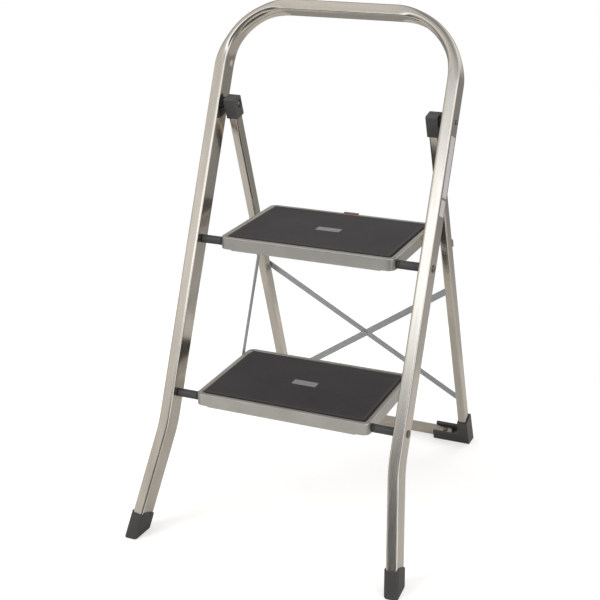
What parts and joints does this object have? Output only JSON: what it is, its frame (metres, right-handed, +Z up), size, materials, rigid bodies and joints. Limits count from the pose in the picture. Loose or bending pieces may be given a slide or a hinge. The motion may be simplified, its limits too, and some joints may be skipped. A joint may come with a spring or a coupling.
{
  "type": "step stool",
  "caption": "Folding steel step stool with two matted treads, a bent-tube front frame that rises into a hand rail, and a cross-braced rear frame.",
  "frame": {"origin": "on the floor under the middle of the open stool", "axes": "+Z up, +Y from the front towards the rear legs, +X to the right seen from the front"},
  "size_m": [0.5066, 0.6212, 0.8919],
  "materials": {
    "polished_steel_tube": "polished, warm nickel tone",
    "satin_steel_sheet": "satin",
    "zinc_steel": "zinc plated, satin",
    "black_rubber": "matt, fine grained",
    "dark_plastic": "moulded, satin",
    "grey_plastic": "satin",
    "red_plastic": "moulded, satin"
  },
  "bodies": {
    "front_frame": {"front_frame_tube": "polished_steel_tube", "front_foot_left": "black_rubber", "front_foot_right": "black_rubber", "upper_rod": "zinc_steel", "lower_rod": "zinc_steel", "upper_spacer_left": "dark_plastic", "upper_spacer_right": "dark_plastic", "lower_spacer_left": "dark_plastic", "lower_spacer_right": "dark_plastic", "hinge_rivet_left": "zinc_steel", "hinge_rivet_right": "zinc_steel"},
    "rear_frame": {"rear_leg_left": "polished_steel_tube", "rear_leg_right": "polished_steel_tube", "hinge_cap_left": "dark_plastic", "hinge_cap_right": "dark_plastic", "support_rail": "zinc_steel", "support_rivet_left": "zinc_steel", "support_rivet_right": "zinc_steel", "bottom_bar": "polished_steel_tube", "bar_rivet_left": "zinc_steel", "bar_rivet_right": "zinc_steel", "rear_shoe_left": "dark_plastic", "rear_shoe_right": "dark_plastic", "brace_strip_front": "zinc_steel", "brace_strip_back": "zinc_steel", "brace_rivet_centre": "zinc_steel", "brace_rivet_top_left": "zinc_steel", "brace_rivet_top_right": "zinc_steel", "brace_rivet_bottom_left": "zinc_steel", "brace_rivet_bottom_right": "zinc_steel"},
    "upper_step": {"upper_tray": "satin_steel_sheet", "upper_mat": "black_rubber", "upper_mat_plate": "grey_plastic", "upper_bush_left": "dark_plastic", "upper_bush_right": "dark_plastic", "upper_link_pin_left": "zinc_steel", "upper_link_pin_right": "zinc_steel", "catch_bracket": "zinc_steel", "catch_pin": "zinc_steel", "catch_spring": "zinc_steel"},
    "lower_step": {"lower_tray": "satin_steel_sheet", "lower_mat": "black_rubber", "lower_mat_plate": "grey_plastic", "lower_bush_left": "dark_plastic", "lower_bush_right": "dark_plastic", "lower_link_pin_left": "zinc_steel", "lower_link_pin_right": "zinc_steel"},
    "link_left": {"link_bar_left": "zinc_steel"},
    "link_right": {"link_bar_right": "zinc_steel"},
    "catch": {"catch_lever": "red_plastic"}
  },
  "joints": [
    {"name": "rear_frame_fold", "type": "hinge", "parent": "front_frame", "child": "rear_frame", "pos_m": [0, 0.01912, 0.71299], "axis": [-1, 0, 0], "range_deg": [0, 38.6]},
    {"name": "upper_step_fold", "type": "hinge", "parent": "front_frame", "child": "upper_step", "pos_m": [0, -0.07812, 0.4894], "axis": [1, 0, 0], "range_deg": [0, 62.8]},
    {"name": "lower_step_fold", "type": "hinge", "parent": "front_frame", "child": "lower_step", "pos_m": [0, -0.1843, 0.2368], "axis": [1, 0, 0], "range_deg": [0, 62.8]},
    {"name": "link_left_swing", "type": "hinge", "parent": "upper_step", "child": "link_left", "pos_m": [-0.1634, 0.09888, 0.4894], "axis": [-1, 0, 0], "range_deg": [0, 62.8]},
    {"name": "link_right_swing", "type": "hinge", "parent": "upper_step", "child": "link_right", "pos_m": [0.1634, 0.09888, 0.4894], "axis": [-1, 0, 0], "range_deg": [0, 62.8]},
    {"name": "catch_release", "type": "hinge", "parent": "upper_step", "child": "catch", "pos_m": [0, 0.13168, 0.489], "axis": [1, 0, 0], "range_deg": [0, 14], "stiffness_Nm_per_rad": 0.03, "springref_deg": -11.46}
  ],
  "couplings": [
    {"joint": "upper_step_fold", "follows": "rear_frame_fold", "ratio": 1.6269},
    {"joint": "lower_step_fold", "follows": "rear_frame_fold", "ratio": 1.6269},
    {"joint": "link_left_swing", "follows": "rear_frame_fold", "ratio": 1.6269},
    {"joint": "link_right_swing", "follows": "rear_frame_fold", "ratio": 1.6269}
  ]
}
